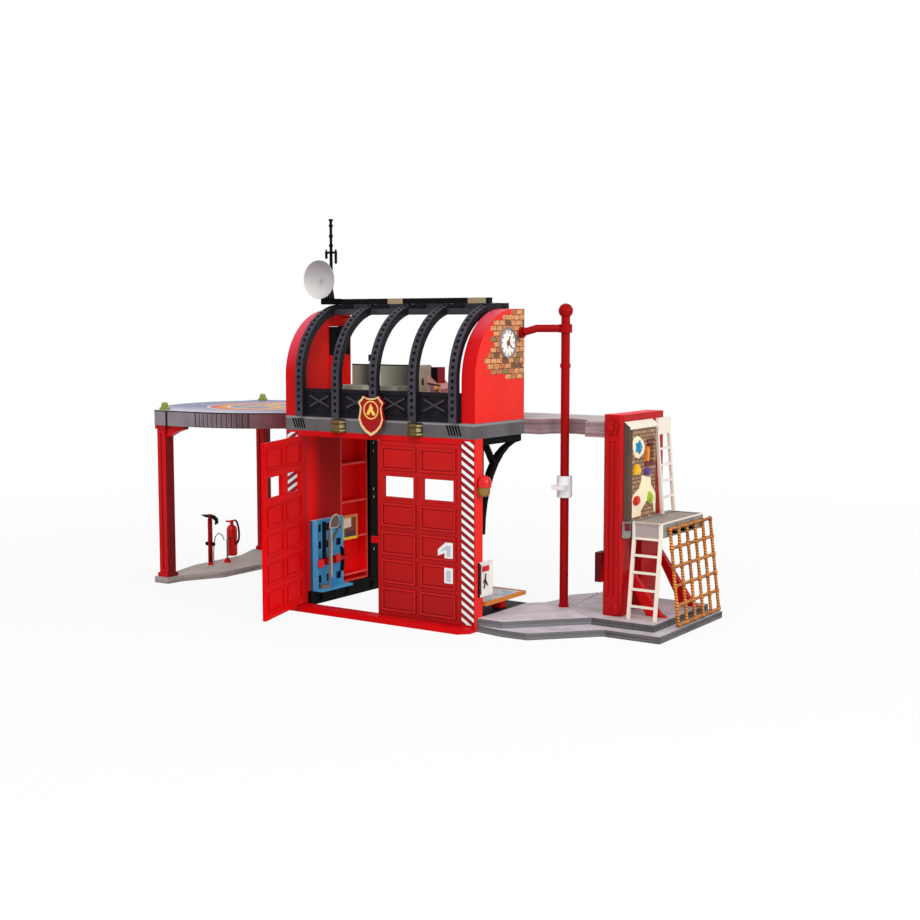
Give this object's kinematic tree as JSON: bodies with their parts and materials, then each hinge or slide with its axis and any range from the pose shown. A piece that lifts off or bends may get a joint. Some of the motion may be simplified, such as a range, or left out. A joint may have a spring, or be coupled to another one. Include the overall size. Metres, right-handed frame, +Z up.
{
  "type": "toy fire station",
  "caption": "Toy fire station with hinged garage doors, a vaulted control room, slide pole, helipad deck and a training tower with ladders and rope net.",
  "frame": {"origin": "centre of the garage front at ground level, on the underside of the sill", "axes": "+X to the right of the front along the longest side, +Y towards the back, +Z up"},
  "size_m": [0.611, 0.3341, 0.3625],
  "materials": {
    "red_plastic": "gloss",
    "charcoal_plastic": "satin",
    "band_grey_plastic": "satin",
    "stone_grey_plastic": "satin",
    "cream_plastic": "satin",
    "white_plastic": "satin",
    "blue_plastic": "satin",
    "gold_plastic": "metallic",
    "bronze_plastic": "metallic",
    "orange_plastic": "satin",
    "brick_print_plastic": "satin",
    "salmon_plastic": "satin",
    "console_grey_plastic": "satin",
    "lamp_green_plastic": "clear",
    "lamp_red_plastic": "clear",
    "hose_grey_plastic": "satin"
  },
  "bodies": {
    "station": {"front_frame": "red_plastic", "threshold_ramp": "red_plastic", "left_side_wall": "red_plastic", "side_wall_rail": "charcoal_plastic", "rear_post": "charcoal_plastic", "shelf_unit": "red_plastic", "framed_picture": "orange_plastic", "tool_rack": "blue_plastic", "rack_coupling": "red_plastic", "rack_hose": "hose_grey_plastic", "arch_bracket": "charcoal_plastic", "alarm_base": "gold_plastic", "alarm_dome": "lamp_red_plastic", "notice_board": "charcoal_plastic", "table_base": "charcoal_plastic", "table": "orange_plastic", "upper_floor": "band_grey_plastic", "left_end_wall": "red_plastic", "right_end_wall": "red_plastic", "doorway_frame": "charcoal_plastic", "roof_frame": "charcoal_plastic", "parapet": "charcoal_plastic", "roof_rail": "charcoal_plastic", "shield": "red_plastic", "clock": "stone_grey_plastic", "console_desk": "console_grey_plastic", "microphone": "charcoal_plastic", "sloped_cabinet": "salmon_plastic", "radio_box": "charcoal_plastic", "bell": "gold_plastic", "antenna_mast": "charcoal_plastic", "dish_arm": "charcoal_plastic", "slide_pole": "red_plastic", "pole_arm": "red_plastic", "rear_deck": "band_grey_plastic", "pole_platform": "stone_grey_plastic", "tower_base": "stone_grey_plastic", "tower_frame": "red_plastic", "climbing_wall": "brick_print_plastic", "landing": "band_grey_plastic", "lower_ladder": "cream_plastic", "upper_ladder": "cream_plastic", "rope_net": "orange_plastic", "brace_front": "red_plastic", "brace_rear": "red_plastic", "helipad_deck": "band_grey_plastic", "helipad_post_front": "red_plastic", "helipad_post_rear": "red_plastic", "helipad_base": "band_grey_plastic", "axe": "red_plastic", "extinguisher": "red_plastic", "band_lamp_left": "bronze_plastic", "band_lamp_right": "bronze_plastic", "helipad_lamp_front": "lamp_green_plastic", "helipad_lamp_rear": "lamp_green_plastic"},
    "left_door": {"left_door_leaf": "red_plastic"},
    "right_door": {"right_door_leaf": "red_plastic", "door_latch": "red_plastic"},
    "slider": {"pole_slider": "white_plastic"},
    "dish": {"dish": "white_plastic"}
  },
  "joints": [
    {"name": "left_door_hinge", "type": "hinge", "parent": "station", "child": "left_door", "pos_m": [-0.0887, 0.002, 0.08], "axis": [0, 0, 1], "range_deg": [-17.5, 72.5]},
    {"name": "right_door_hinge", "type": "hinge", "parent": "station", "child": "right_door", "pos_m": [0.0887, 0.002, 0.08], "axis": [0, 0, 1], "range_deg": [0, 90]},
    {"name": "slider_slide", "type": "slide", "parent": "station", "child": "slider", "axis": [0, 0, 1], "range_m": [-0.095, 0.095]},
    {"name": "dish_tilt", "type": "hinge", "parent": "station", "child": "dish", "pos_m": [-0.09, 0.043, 0.30549], "axis": [1, 0, 0], "range_deg": [-30, 10]}
  ]
}
